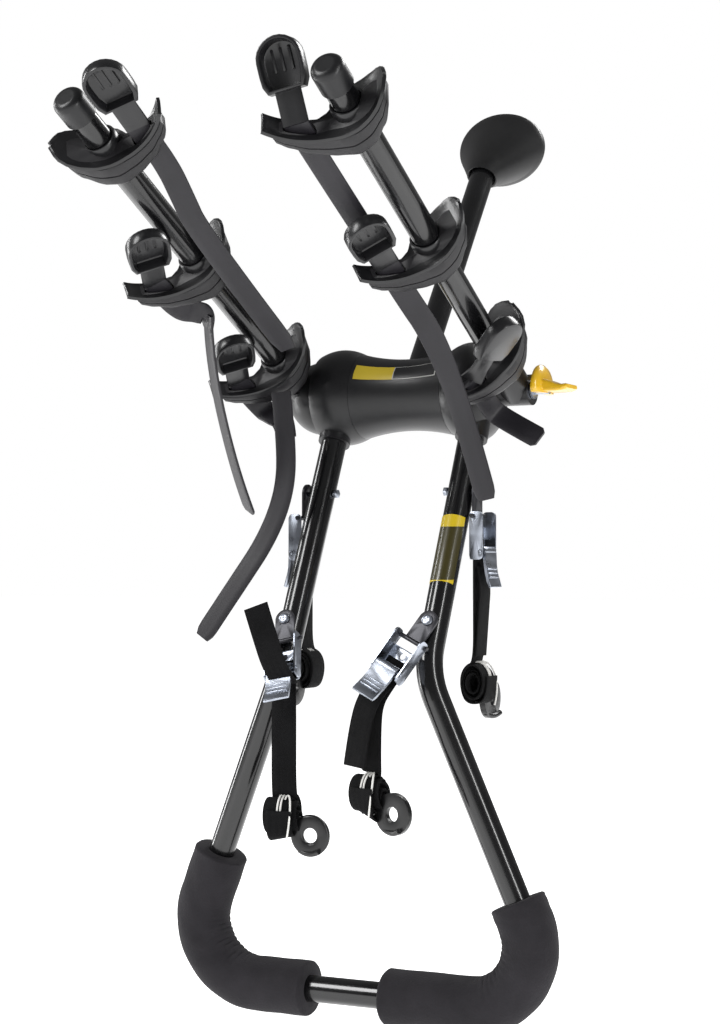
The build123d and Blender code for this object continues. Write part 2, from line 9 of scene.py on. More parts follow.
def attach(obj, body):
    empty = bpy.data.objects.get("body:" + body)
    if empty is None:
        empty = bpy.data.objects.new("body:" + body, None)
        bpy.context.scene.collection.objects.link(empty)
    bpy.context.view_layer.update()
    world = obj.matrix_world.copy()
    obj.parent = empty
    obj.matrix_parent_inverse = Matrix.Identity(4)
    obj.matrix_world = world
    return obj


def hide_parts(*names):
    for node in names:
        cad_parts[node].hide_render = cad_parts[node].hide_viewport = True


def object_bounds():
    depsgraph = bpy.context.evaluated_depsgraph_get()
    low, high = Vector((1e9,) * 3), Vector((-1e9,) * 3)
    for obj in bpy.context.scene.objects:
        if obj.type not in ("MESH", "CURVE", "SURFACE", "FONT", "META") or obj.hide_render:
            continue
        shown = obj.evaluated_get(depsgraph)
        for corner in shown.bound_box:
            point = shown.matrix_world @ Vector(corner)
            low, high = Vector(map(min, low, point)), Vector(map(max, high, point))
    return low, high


bl_info = {
    "name": "Strap-on boot rack",
    "version": (1, 0, 0),
    "blender": (4, 5, 0),
    "location": "3D View > Sidebar > Boot rack",
    "description": "Builds a three-bike boot rack piece by piece",
    "category": "Add Mesh",
}

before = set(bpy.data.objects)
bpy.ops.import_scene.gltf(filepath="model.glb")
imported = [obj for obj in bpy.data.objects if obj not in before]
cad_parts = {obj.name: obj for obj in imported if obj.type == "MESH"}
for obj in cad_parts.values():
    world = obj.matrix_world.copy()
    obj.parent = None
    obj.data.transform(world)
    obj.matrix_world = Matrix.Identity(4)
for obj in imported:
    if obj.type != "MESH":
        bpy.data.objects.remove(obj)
CAD_BOX = [list(corner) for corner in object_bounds()]

MM = 0.001
HUB = Vector((0, -240, -291)) * MM
X, Y, Z = Vector((1, 0, 0)), Vector((0, 1, 0)), Vector((0, 0, 1))
DOWN = -Z
TUBE_R = 12.7
LEG_X = 75.5
KINK = (76, -127, -272)
CORNER = (203, -108, -577)
CORNER_R = 60
PAD_R = 26.5
PAD_ENDS = {"left": (137, 147), "right": (108, 176)}
ARM_X, ARM_SPLAY, ARM_RISE, ARM_LENGTH = 115, 10, 28.3, 478
STAY_RISE, STAY_LENGTH = 54.5, 312
SIDES = {"left": -1, "right": 1}
TROUGH_X, TROUGH_Z, SADDLE_R = -14.25, 38.0, 65.0
SLOT_X, SLOT_Y = -42, -15
CRADLES = {
    "right_1": (1, 449, 14, 1),
    "right_2": (1, 268, 34, 1),
    "right_3": (1, 98, 62, 1),
    "left_1": (-1, 439, -21.6, 1),
    "left_2": (-1, 268, 148, -1),
    "left_3": (-1, 98, 150, -1),
}
HEADS = {
    "right_1": ((0, 0.81, 0.59), (1, 0, 0)),
    "right_2": ((0, -0.14, 0.99), (1, 0, 0)),
    "right_3": ((0.75, -0.35, 0.56), (-0.55, 0, 0.75)),
    "left_1": ((0, 0.1, 0.995), (1, 0, 0)),
    "left_2": ((0.35, -0.15, 0.92), (1, 0, 0)),
    "left_3": ((0.35, -0.15, 0.92), (1, 0, 0)),
}
UPPER_SCREW, LOWER_SCREW = 110, 254
WEB_WIDTH, WEB_THICK = 25.4, 1.6
BRACKET_BAR, CAM_X, CAM_Z, WEB_Z = 24, 58, 11, 2.6
BUCKLE_INSIDE, BUCKLE_WALL, BUCKLE_LENGTH = 30, 1.5, 46


# ------------------------------------------------------------ places on the rack
def at_hub(x, y, z):
    return HUB + Vector((x, y, z)) * MM


def mirrored(point, side):
    return at_hub(side * point[0], point[1], point[2])


def leg_direction(side):
    return (mirrored(KINK, side) - mirrored((LEG_X, 0, 0), side)).normalized()


def leg_point(side, distance):
    return mirrored((LEG_X, 0, 0), side) + leg_direction(side) * distance * MM


def arm_root(side):
    return at_hub(side * ARM_X, 0, 0)


def arm_direction(side):
    rise = radians(ARM_RISE)
    way = Vector((side * ARM_SPLAY, -ARM_LENGTH * cos(rise), ARM_LENGTH * sin(rise)))
    return way.normalized()


def cradle_frame(name):
    """Origin, across, over and tip of a cradle's own axes."""
    side, distance, turn, hand = CRADLES[name]
    tip = arm_direction(side)
    outward, upward = X * side, Vector((0, sin(radians(ARM_RISE)), cos(radians(ARM_RISE))))
    across = outward * cos(radians(turn)) + upward * sin(radians(turn))
    across = (across - tip * across.dot(tip)).normalized()
    over = tip.cross(across) * side * hand
    return arm_root(side) + tip * distance * MM, across, over, tip


def in_cradle(name, x, y, z):
    origin, across, over, tip = cradle_frame(name)
    return origin + (across * x + over * y + tip * z) * MM


FRONT = leg_direction(1).cross(X).normalized()
ANCHORS = {
    "right_upper": (1, UPPER_SCREW, X, 0, 72),
    "left_upper": (-1, UPPER_SCREW, -X, 0, 62),
    "right_lower": (1, LOWER_SCREW, FRONT, 27, 66),
    "left_lower": (-1, LOWER_SCREW, FRONT, 13, 84),
}


def anchor_frame(name):
    """Origin at the screw, down the strap, across it and out from the leg."""
    side, distance, outward, lean = ANCHORS[name][:4]
    level = DOWN.cross(outward).normalized()
    below = outward.cross(level).normalized()
    if below.dot(DOWN) < 0:
        below = -below
    down = below * cos(radians(lean)) - X * side * sin(radians(lean))
    origin = leg_point(side, distance) + outward * (TUBE_R + 3) * MM
    return origin, down, outward.cross(down), outward


def on_anchor(name, x, y, z):
    origin, down, across, out = anchor_frame(name)
    return origin + (down * x + across * y + out * z) * MM


# ------------------------------------------------------------ materials
MATERIALS = {}


def node_of(tree, kind, **values):
    node = tree.nodes.new(kind)
    for name, value in values.items():
        if name in node.inputs:
            node.inputs[name].default_value = value
        else:
            setattr(node, name, value)
    return node


def finish_named(
    name,
    colour,
    rough,
    metal=0.0,
    coat=0.0,
    coat_rough=0.1,
    sheen=0.0,
    grain=900.0,
    bump=0.1,
    mottling=0.25,
    wear=0.06,
    stretch=(1, 1, 1),
    specular=0.5,
    depth=0.0004,
):
    """A node finish: two colours mixed by noise, uneven gloss and a fine bump."""
    if name in MATERIALS:
        return MATERIALS[name]
    material = bpy.data.materials.new(name)
    material.use_nodes = True
    tree = material.node_tree
    shader = tree.nodes["Principled BSDF"]
    place = tree.nodes.new("ShaderNodeTexCoord")
    mapping = node_of(tree, "ShaderNodeMapping")
    mapping.inputs["Scale"].default_value = stretch
    tree.links.new(place.outputs["Object"], mapping.inputs["Vector"])
    cloud = node_of(tree, "ShaderNodeTexNoise", Scale=28.0, Detail=5.0, Roughness=0.6)
    fine = node_of(tree, "ShaderNodeTexNoise", Scale=grain, Detail=3.0, Roughness=0.55)
    for noise in (cloud, fine):
        tree.links.new(mapping.outputs["Vector"], noise.inputs["Vector"])
    tint = tree.nodes.new("ShaderNodeValToRGB")
    dark = [c * (1 - mottling) for c in colour]
    light = [min(1.0, c * (1 + mottling) + 0.004 * mottling) for c in colour]
    tint.color_ramp.elements[0].position = 0.3
    tint.color_ramp.elements[0].color = (*dark, 1)
    tint.color_ramp.elements[1].position = 0.72
    tint.color_ramp.elements[1].color = (*light, 1)
    tree.links.new(cloud.outputs["Fac"], tint.inputs["Fac"])
    tree.links.new(tint.outputs["Color"], shader.inputs["Base Color"])
    gloss = node_of(tree, "ShaderNodeMapRange")
    gloss.inputs["To Min"].default_value = max(0.02, rough - wear)
    gloss.inputs["To Max"].default_value = min(1.0, rough + wear)
    tree.links.new(cloud.outputs["Fac"], gloss.inputs["Value"])
    tree.links.new(gloss.outputs["Result"], shader.inputs["Roughness"])
    relief = node_of(tree, "ShaderNodeBump", Strength=bump, Distance=depth)
    tree.links.new(fine.outputs["Fac"], relief.inputs["Height"])
    tree.links.new(relief.outputs["Normal"], shader.inputs["Normal"])
    shader.inputs["Metallic"].default_value = metal
    shader.inputs["Coat Weight"].default_value = coat
    shader.inputs["Coat Roughness"].default_value = coat_rough
    shader.inputs["Sheen Weight"].default_value = sheen
    shader.inputs["Specular IOR Level"].default_value = specular
    MATERIALS[name] = material
    return material


def woven_finish(name, colour):
    """Webbing: a herringbone of fine ribs that follows the strap's own UV map, in metres."""
    if name in MATERIALS:
        return MATERIALS[name]
    material = finish_named(
        name, colour, 0.8, sheen=0.02, grain=2400, bump=0.15, mottling=0.3, specular=0.08
    )
    tree = material.node_tree
    shader = tree.nodes["Principled BSDF"]
    place = node_of(tree, "ShaderNodeUVMap", uv_map="strap")
    split = tree.nodes.new("ShaderNodeSeparateXYZ")
    tree.links.new(place.outputs["UV"], split.inputs["Vector"])
    fold = node_of(tree, "ShaderNodeMath", operation="PINGPONG")
    fold.inputs[1].default_value = 0.0032
    tree.links.new(split.outputs["X"], fold.inputs[0])
    slant = node_of(tree, "ShaderNodeMath", operation="ADD")
    tree.links.new(fold.outputs["Value"], slant.inputs[0])
    tree.links.new(split.outputs["Y"], slant.inputs[1])
    wave = node_of(tree, "ShaderNodeMath", operation="MULTIPLY")
    wave.inputs[1].default_value = 2 * pi / 0.0016
    tree.links.new(slant.outputs["Value"], wave.inputs[0])
    rib = node_of(tree, "ShaderNodeMath", operation="SINE")
    tree.links.new(wave.outputs["Value"], rib.inputs[0])
    relief = node_of(tree, "ShaderNodeBump", Strength=0.75, Distance=0.0004)
    tree.links.new(rib.outputs["Value"], relief.inputs["Height"])
    tree.links.new(relief.outputs["Normal"], shader.inputs["Normal"])
    return material


def banded_finish(name, low, high, axis, edges, colours):
    """A flat print: plain bands of colour along one axis, parted at the given places."""
    material = finish_named(name, colours[0], 0.35, coat=0.4, grain=700, bump=0.05)
    tree = material.node_tree
    shader = tree.nodes["Principled BSDF"]
    place = tree.nodes.new("ShaderNodeTexCoord")
    split = tree.nodes.new("ShaderNodeSeparateXYZ")
    tree.links.new(place.outputs["Object"], split.inputs["Vector"])
    along = node_of(tree, "ShaderNodeMapRange")
    along.inputs["From Min"].default_value = low
    along.inputs["From Max"].default_value = high
    tree.links.new(split.outputs[axis], along.inputs["Value"])
    bands = tree.nodes.new("ShaderNodeValToRGB")
    bands.color_ramp.interpolation = "CONSTANT"
    bands.color_ramp.elements[0].color = (*colours[0], 1)
    bands.color_ramp.elements[1].position = edges[0]
    bands.color_ramp.elements[1].color = (*colours[1], 1)
    for edge, colour in zip(edges[1:], colours[2:]):
        bands.color_ramp.elements.new(edge).color = (*colour, 1)
    tree.links.new(along.outputs["Result"], bands.inputs["Fac"])
    tree.links.new(bands.outputs["Color"], shader.inputs["Base Color"])
    return material


def hub_plastic():
    return finish_named(
        "moulded_hub", (0.0075, 0.0075, 0.0085), 0.36, grain=1500, bump=0.14, coat=0.1,
        coat_rough=0.28, mottling=0.2, specular=0.35,
    )


def tube_paint():
    return finish_named(
        "gloss_black_paint", (0.0035, 0.0035, 0.004), 0.22, grain=260, bump=0.03, coat=0.5,
        coat_rough=0.08, mottling=0.3, wear=0.05, specular=0.4,
    )


def cradle_plastic():
    return finish_named(
        "cradle_plastic", (0.008, 0.008, 0.009), 0.3, grain=1300, bump=0.1, coat=0.2,
        coat_rough=0.2, specular=0.4,
    )


def body_rubber():
    return finish_named(
        "cradle_rubber", (0.012, 0.0115, 0.013), 0.45, grain=1700, bump=0.18, mottling=0.25,
        specular=0.4,
    )


def strap_rubber():
    colour = bpy.context.scene.boot_rack.strap_colour
    return finish_named(
        "strap_rubber", tuple(colour), 0.46, grain=1500, bump=0.14, mottling=0.16, specular=0.4,
    )


def bright_zinc():
    return finish_named(
        "bright_zinc", (0.4, 0.43, 0.49), 0.3, metal=1.0, grain=420, bump=0.1,
        mottling=0.22, wear=0.12, stretch=(1, 1, 3),
    )


def dark_steel():
    return finish_named(
        "dark_steel", (0.035, 0.035, 0.04), 0.35, metal=0.6, grain=500, bump=0.1, mottling=0.3,
    )


def white_twine():
    return finish_named(
        "white_twine", (0.78, 0.77, 0.74), 0.8, grain=2600, bump=0.6, mottling=0.08, sheen=0.3,
    )


def vinyl_coat():
    return finish_named(
        "vinyl_coat", (0.006, 0.006, 0.0065), 0.36, grain=900, bump=0.12, coat=0.25,
        coat_rough=0.25, specular=0.4,
    )


# ------------------------------------------------------------ making meshes
def deselect():
    bpy.ops.object.select_all(action="DESELECT")


def alone(piece):
    deselect()
    piece.select_set(True)
    bpy.context.view_layer.objects.active = piece


def add_modifier(piece, kind, **values):
    alone(piece)
    bpy.ops.object.modifier_add(type=kind)
    modifier = piece.modifiers[-1]
    for name, value in values.items():
        setattr(modifier, name, value)
    bpy.ops.object.modifier_apply(modifier=modifier.name)


def cut(piece, cutter):
    """Takes the cutter's shape out of a piece, and removes the cutter."""
    add_modifier(piece, "BOOLEAN", object=cutter, operation="DIFFERENCE", solver="EXACT")
    bpy.data.objects.remove(cutter)


def mesh_piece(name, verts, faces):
    """A mesh object with its faces turned outwards."""
    mesh = bpy.data.meshes.new(name)
    mesh.from_pydata([tuple(v) for v in verts], [], faces)
    piece = bpy.data.objects.new(name, mesh)
    bpy.context.collection.objects.link(piece)
    alone(piece)
    bpy.ops.object.mode_set(mode="EDIT")
    bpy.ops.mesh.select_all(action="SELECT")
    bpy.ops.mesh.normals_make_consistent(inside=False)
    bpy.ops.object.mode_set(mode="OBJECT")
    return piece


def dress(piece, material, body, replaces=(), smooth=40):
    """Smooths, paints and rides a finished piece."""
    alone(piece)
    bpy.ops.object.shade_smooth_by_angle(angle=radians(smooth))
    piece.data.materials.clear()
    piece.data.materials.append(material)
    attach(piece, body)
    if replaces:
        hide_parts(*replaces)
    return piece


def oval(centre, u_way, v_way, radius_u, radius_v, count):
    """A closed loop of points; the radii are in millimetres."""
    loop = []
    for k in range(count):
        angle = 2 * pi * k / count
        loop.append(centre + (u_way * cos(angle) * radius_u + v_way * sin(angle) * radius_v) * MM)
    return loop


def loft(loops, closed_start=True, closed_end=True):
    """Quads between equal loops of points, with a fan of triangles on each closed end."""
    count = len(loops[0])
    verts = [point for loop in loops for point in loop]
    faces = []
    for row in range(len(loops) - 1):
        for i in range(count):
            j = (i + 1) % count
            a, b = row * count, (row + 1) * count
            faces.append((a + i, a + j, b + j, b + i))
    for closed, row in ((closed_start, 0), (closed_end, len(loops) - 1)):
        if closed:
            middle = sum(loops[row], Vector()) / count
            verts.append(middle)
            for i in range(count):
                faces.append((row * count + i, row * count + (i + 1) % count, len(verts) - 1))
    return verts, faces


def ring_loops(loops):
    """Quads between equal loops, the last joined to the first."""
    count, rows = len(loops[0]), len(loops)
    verts = [point for loop in loops for point in loop]
    faces = []
    for row in range(rows):
        for i in range(count):
            j, below = (i + 1) % count, (row + 1) % rows
            faces.append(
                (row * count + i, row * count + j, below * count + j, below * count + i)
            )
    return verts, faces


def joined(name, pieces):
    deselect()
    for piece in pieces:
        piece.select_set(True)
    bpy.context.view_layer.objects.active = pieces[0]
    if len(pieces) > 1:
        bpy.ops.object.join()
    pieces[0].name = name
    pieces[0].data.name = name
    return pieces[0]


def smooth_line(points, steps=12):
    """Points read from a NURBS spline through a route."""
    curve = bpy.data.curves.new("route", "CURVE")
    curve.dimensions = "3D"
    curve.resolution_u = steps
    spline = curve.splines.new("NURBS")
    spline.points.add(len(points) - 1)
    for knot, point in zip(spline.points, points):
        knot.co = (*point, 1)
    spline.order_u = 3
    spline.use_endpoint_u = True
    carrier = bpy.data.objects.new("route", curve)
    bpy.context.collection.objects.link(carrier)
    mesh = bpy.data.meshes.new_from_object(carrier)
    line = [vertex.co.copy() for vertex in mesh.vertices]
    bpy.data.objects.remove(carrier)
    bpy.data.curves.remove(curve)
    bpy.data.meshes.remove(mesh)
    return line


def tangents(line):
    ways = []
    for i in range(len(line)):
        ways.append((line[min(i + 1, len(line) - 1)] - line[max(i - 1, 0)]).normalized())
    return ways


def tube_piece(name, line, radius, sides=12, closed_start=True, closed_end=True):
    """A round tube along a line of points, with a constant or a listed radius."""
    loops = []
    way = tangents(line)
    side = way[0].orthogonal().normalized()
    for i, point in enumerate(line):
        side = (side - way[i] * side.dot(way[i])).normalized()
        other = way[i].cross(side)
        r = radius[i] if isinstance(radius, list) else radius
        loops.append(
            [
                point + (side * cos(2 * pi * k / sides) + other * sin(2 * pi * k / sides)) * r
                for k in range(sides)
            ]
        )
    return mesh_piece(name, *loft(loops, closed_start, closed_end))


def ribbon_piece(name, line, widths, width, thick, scale=None, uv=False):
    """A flat strap with rounded edges along a line; its width follows the given direction."""
    loops = []
    way = tangents(line)
    half, lip = width / 2, thick / 2
    outline = [
        (-half, 0), (-half + lip * 0.3, -lip * 0.7), (-half + lip, -lip), (-half * 0.33, -lip),
        (half * 0.33, -lip), (half - lip, -lip), (half - lip * 0.3, -lip * 0.7), (half, 0),
        (half - lip * 0.3, lip * 0.7), (half - lip, lip), (half * 0.33, lip),
        (-half * 0.33, lip), (-half + lip, lip), (-half + lip * 0.3, lip * 0.7),
    ]
    for i, point in enumerate(line):
        place = i / (len(line) - 1) * (len(widths) - 1)
        low = min(int(place), len(widths) - 2) if len(widths) > 1 else 0
        wide = widths[low]
        if len(widths) > 1:
            wide = widths[low].lerp(widths[low + 1], place - low)
        wide = (wide - way[i] * wide.dot(way[i])).normalized()
        face = way[i].cross(wide)
        k = scale(i / (len(line) - 1)) if scale else 1.0
        loops.append([point + wide * u * k + face * v for u, v in outline])
    piece = mesh_piece(name, *loft(loops))
    if uv:
        run = [0.0]
        for a, b in zip(line, line[1:]):
            run.append(run[-1] + (b - a).length)
        layer = piece.data.uv_layers.new(name="strap")
        count = len(outline)
        for loop in piece.data.loops:
            index = min(loop.vertex_index, len(line) * count - 1)
            layer.data[loop.index].uv = (outline[index % count][0], run[index // count])
    return piece


def plate_piece(name, outline, origin, u_way, v_way, thick, edge, segments=2, holes=()):
    """A flat plate: an outline in millimetres on two directions, thickened and bevelled."""
    normal = u_way.cross(v_way).normalized()
    flat = [origin + (u_way * u + v_way * v) * MM for u, v in outline]
    piece = mesh_piece(name, *loft([flat, [p + normal * thick * MM for p in flat]]))
    for hole_u, hole_v, hole_r in holes:
        centre = origin + (u_way * hole_u + v_way * hole_v + normal * thick / 2) * MM
        cut(piece, round_bar("cutter", centre, normal, hole_r, thick * 4))
    if edge:
        add_modifier(
            piece, "BEVEL", width=edge * MM, segments=segments, limit_method="ANGLE",
            angle_limit=radians(40),
        )
    return piece


def round_bar(name, centre, way, radius, length, edge=0.0, sides=32):
    """A bar from a cylinder, turned to its direction; sizes in millimetres."""
    deselect()
    turn = Z.rotation_difference(way.normalized()).to_euler()
    bpy.ops.mesh.primitive_cylinder_add(
        vertices=sides, radius=radius * MM, depth=length * MM, location=centre, rotation=turn
    )
    piece = bpy.context.object
    piece.name = name
    bpy.ops.object.transform_apply(location=True, rotation=True, scale=True)
    if edge:
        add_modifier(
            piece, "BEVEL", width=edge * MM, segments=3, limit_method="ANGLE",
            angle_limit=radians(50),
        )
    return piece


def rounded_outline(width, height, corner, centre=(0, 0), steps=5):
    points = []
    for cx, cy, start in ((1, 1, 0), (-1, 1, 90), (-1, -1, 180), (1, -1, 270)):
        for k in range(steps + 1):
            angle = radians(start + 90 * k / steps)
            points.append(
                (
                    centre[0] + cx * (width / 2 - corner) + corner * cos(angle),
                    centre[1] + cy * (height / 2 - corner) + corner * sin(angle),
                )
            )
    return points


def between(value, table):
    """A smooth value read from a short table of places and values."""
    for (a, low), (b, high) in zip(table, table[1:]):
        if value <= b:
            t = max(0.0, min(1.0, (value - a) / (b - a)))
            t = t * t * (3 - 2 * t) * 0.5 + t * 0.5
            return low + (high - low) * t
    return table[-1][1]


# ------------------------------------------------------------ settings
class BootRackSettings(bpy.types.PropertyGroup):
    """Sizes and colours of the boot rack."""

    pad_colour: bpy.props.FloatVectorProperty(
        name="Pad colour", description="Colour of the foam pads", subtype="COLOR",
        default=(0.021, 0.0195, 0.0225), min=0, max=1,
    )
    strap_colour: bpy.props.FloatVectorProperty(
        name="Strap colour", description="Colour of the rubber straps", subtype="COLOR",
        default=(0.0105, 0.0095, 0.0125), min=0, max=1,
    )
    webbing_colour: bpy.props.FloatVectorProperty(
        name="Webbing colour", description="Colour of the webbing", subtype="COLOR",
        default=(0.0055, 0.0055, 0.006), min=0, max=1,
    )
    lever_colour: bpy.props.FloatVectorProperty(
        name="Lever colour", description="Colour of the release lever", subtype="COLOR",
        default=(0.72, 0.43, 0.012), min=0, max=1,
    )
    fold_depth: bpy.props.FloatProperty(
        name="Fold depth", description="Depth of the folds in the foam's inner bend",
        default=1.1 * MM, min=0, max=3 * MM, unit="LENGTH",
    )
    floor_gap: bpy.props.FloatProperty(
        name="Floor gap", description="From the rack's lowest point down to the floor",
        default=0.004, min=0, max=1, unit="LENGTH",
    )


class RACK_OT_stage(bpy.types.Operator):
    """Add the floor, the soft lights and the camera"""

    bl_idname = "rack.stage"
    bl_label = "Stage"

    def execute(self, context):
        camera = bpy.data.objects.new("camera", bpy.data.cameras.new("camera"))
        context.collection.objects.link(camera)
        camera.location = HUB + Vector((0.8836, -1.8485, -0.1806))
        camera.rotation_euler = (radians(91.77), 0, radians(26.98))
        camera.data.lens = 71.92
        camera.data.sensor_width = 36
        context.scene.camera = camera
        floor_z = CAD_BOX[0][2] - context.scene.boot_rack.floor_gap
        deselect()
        bpy.ops.mesh.primitive_plane_add(size=60, location=(0, 0, floor_z))
        floor = context.object
        floor.name = "floor"
        pale = bpy.data.materials.new("pale_floor")
        pale.use_nodes = True
        shader = pale.node_tree.nodes["Principled BSDF"]
        shader.inputs["Base Color"].default_value = (0.93, 0.93, 0.93, 1)
        shader.inputs["Roughness"].default_value = 0.85
        shader.inputs["Specular IOR Level"].default_value = 0.15
        shader.inputs["Emission Color"].default_value = (1, 1, 1, 1)
        shader.inputs["Emission Strength"].default_value = 0.95
        floor.data.materials.append(pale)
        world = bpy.data.worlds.new("studio")
        world.use_nodes = True
        tree = world.node_tree
        soft = tree.nodes["Background"]
        soft.inputs["Color"].default_value = (1, 1, 1, 1)
        soft.inputs["Strength"].default_value = 0.17
        bright = node_of(tree, "ShaderNodeBackground", Strength=1.0)
        bright.inputs["Color"].default_value = (1, 1, 1, 1)
        choose = tree.nodes.new("ShaderNodeMixShader")
        seen = tree.nodes.new("ShaderNodeLightPath").outputs["Is Camera Ray"]
        tree.links.new(seen, choose.inputs[0])
        tree.links.new(soft.outputs[0], choose.inputs[1])
        tree.links.new(bright.outputs[0], choose.inputs[2])
        tree.links.new(choose.outputs[0], tree.nodes["World Output"].inputs["Surface"])
        context.scene.world = world
        context.scene.view_settings.view_transform = "Standard"
        middle = HUB + Vector((0, 0, -0.1))
        for name, spot, size, power in (
            ("key", (-1.5, -2.1, 1.6), (0.8, 1.4), 50),
            ("fill", (2.4, -1.2, 0.6), (0.3, 2.2), 30),
            ("rim", (0.7, 1.9, 1.8), (1.6, 0.8), 45),
            ("strip", (-2.0, -0.2, 0.1), (0.25, 2.4), 26),
        ):
            lamp = bpy.data.lights.new(name, "AREA")
            lamp.shape = "RECTANGLE"
            lamp.size, lamp.size_y = size
            lamp.energy = power
            light = bpy.data.objects.new(name, lamp)
            context.collection.objects.link(light)
            light.location = middle + Vector(spot)
            light.rotation_euler = (middle - light.location).to_track_quat("-Z", "Y").to_euler()
        return {"FINISHED"}


# ------------------------------------------------------------ webbing and hooks
def twine_loops(name, centre, axis, radius_u, radius_v, u_way, turns, gap):
    """White twine wound a few times round a roll of webbing."""
    v_way = axis.cross(u_way).normalized()
    line = []
    for k in range(int(turns * 24) + 1):
        angle = 2 * pi * k / 24
        line.append(
            centre
            + (u_way * cos(angle) * radius_u + v_way * sin(angle) * radius_v) * MM
            + axis * gap * MM * (k / 24 - turns / 2)
        )
    return tube_piece(name, line, 0.9 * MM, 8)


class RACK_OT_webbing(bpy.types.Operator):
    """Add the four webbing straps with their rolls, twine and hooks"""

    bl_idname = "rack.webbing"
    bl_label = "Webbing straps"

    def execute(self, context):
        cloth = woven_finish("black_webbing", tuple(context.scene.boot_rack.webbing_colour))
        for name, (side, *_, drop) in ANCHORS.items():
            body = f"anchor_{name}"
            across, out = anchor_frame(name)[2:]
            hang = on_anchor(name, CAM_X + 34, 0, WEB_Z)
            route = [
                on_anchor(name, CAM_X - 12, 0, WEB_Z),
                on_anchor(name, CAM_X + 18, 0, WEB_Z),
                on_anchor(name, CAM_X + 30, 0, WEB_Z) + DOWN * 3 * MM,
                hang + DOWN * 18 * MM,
                hang + DOWN * drop * MM,
            ]
            level = (across - DOWN * across.dot(DOWN)).normalized()
            face = level.cross(DOWN) * -1
            if face.dot(out) < 0:
                face = -face
            end = route[-1]
            # the run's last turn goes behind the roll, under it and up its front
            for below, ahead in ((3, -8), (12, -13.5), (26, -13.5), (39, -8), (39, 8), (26, 13.5),
                                 (13, 13.5)):
                route.append(end + (DOWN * below + face * ahead) * MM)
            line = smooth_line(route)
            width, thick = WEB_WIDTH * MM, WEB_THICK * MM
            strap = ribbon_piece(f"webbing_run_{name}", line, [across], width, thick, uv=True)
            dress(strap, cloth, body, [f"webbing_{name}"])
            # the loose tail, folded back in front of the run
            tail = [
                on_anchor(name, CAM_X + 14, 0, WEB_Z + 3.4),
                on_anchor(name, CAM_X + 30, 0, WEB_Z + 7.0),
                hang + DOWN * 20 * MM + face * 9.5 * MM - X * side * 4 * MM,
                end + DOWN * -6 * MM + face * 11 * MM - X * side * 9 * MM,
            ]
            if name == "left_lower":
                # this one stands up in front of its buckle
                stand = ((72, 3, 6), (66, 3, 27), (38, 0, 44), (10, -4, 56))
                tail = [on_anchor(name, *point) for point in stand]
            tail = smooth_line(tail)
            loose = ribbon_piece(
                f"webbing_tail_{name}", tail, [across, level], width, thick, uv=True
            )
            dress(loose, cloth, body)

            # the rest of the strap, rolled up flat and tied
            middle = end + DOWN * 19.2 * MM
            roll_line = []
            for k in range(150):
                turn = 2 * pi * k / 30
                reach = 4.0 + 14.2 * k / 149
                drift = 4.5 * sin(turn * 0.41)
                roll_line.append(
                    middle
                    + (DOWN * cos(turn) * reach + face * sin(turn) * reach * 0.68) * MM
                    + level * drift * MM
                )
            roll = ribbon_piece(
                f"webbing_roll_{name}", roll_line, [level], width, thick * 1.1, uv=True
            )
            dress(roll, cloth, body)
            tie = joined(
                f"twine_{name}",
                [
                    twine_loops("tie", middle, level, 19.4, 12.6, DOWN, 2.6, 3.2),
                    tube_piece(
                        "tie_end",
                        smooth_line(
                            [
                                middle + (DOWN * -19 + level * 4) * MM,
                                middle + (DOWN * -22 + face * 6 + level * 9) * MM,
                                middle + (DOWN * 2 + face * 16 + level * 13) * MM,
                                middle + (DOWN * 22 + face * 13 + level * 8) * MM,
                            ]
                        ),
                        0.9 * MM,
                        8,
                    ),
                ],
            )
            dress(tie, white_twine(), body)

            # the coated hook: a round plate with an eye, a neck and a turned-over lip
            outline = rounded_outline(39, 39, 19.4, (36, 27), 8)
            plate = plate_piece(
                f"hook_{name}",
                [(u, v) for u, v in outline],
                end - face * 3 * MM, DOWN, level, 6, 2.4, 3, [(36, 27, 7)],
            )
            neck = plate_piece(
                "neck", rounded_outline(18, 22, 5, (27, 9)), end - face * 2.4 * MM,
                DOWN, level, 5, 1.8, 3,
            )
            lip = tube_piece(
                "lip",
                smooth_line(
                    [
                        end + (DOWN * 50 + level * 16 + face * 0) * MM,
                        end + (DOWN * 56 + level * 27 + face * 3) * MM,
                        end + (DOWN * 50 + level * 38 + face * 6) * MM,
                    ]
                ),
                2.6 * MM,
            )
            hook = joined(f"hook_{name}", [plate, neck, lip])
            dress(hook, vinyl_coat(), body, [f"hook_bundle_{name}"])
        return {"FINISHED"}


# ------------------------------------------------------------ foam pads
def pad_route(name):
    """The frame's centre line round a lower corner: a run, an arc and a run."""
    side = SIDES[name]
    up_leg, along_bar = PAD_ENDS[name]
    corner = mirrored(CORNER, side)
    up = (mirrored(KINK, side) - corner).normalized()
    along = -X * side
    half = acos(up.dot(along)) / 2
    setback = CORNER_R * MM * (cos(half) / sin(half))
    centre = corner + (up + along).normalized() * CORNER_R * MM / sin(half)
    start, finish = corner + up * setback, corner + along * setback
    line = []
    run = up_leg * MM - setback
    for k in range(22):
        line.append(start + up * run * (1 - k / 22))
    sweep = pi - 2 * half
    first = (start - centre).normalized()
    last = (finish - centre).normalized()
    steps = 56
    for k in range(steps + 1):
        t = k / steps
        way = (first * sin((1 - t) * sweep) + last * sin(t * sweep)) / sin(sweep)
        line.append(centre + way * CORNER_R * MM)
    run = along_bar * MM - setback
    for k in range(1, 26):
        line.append(finish + along * run * k / 25)
    return line, centre, (22, 22 + steps)


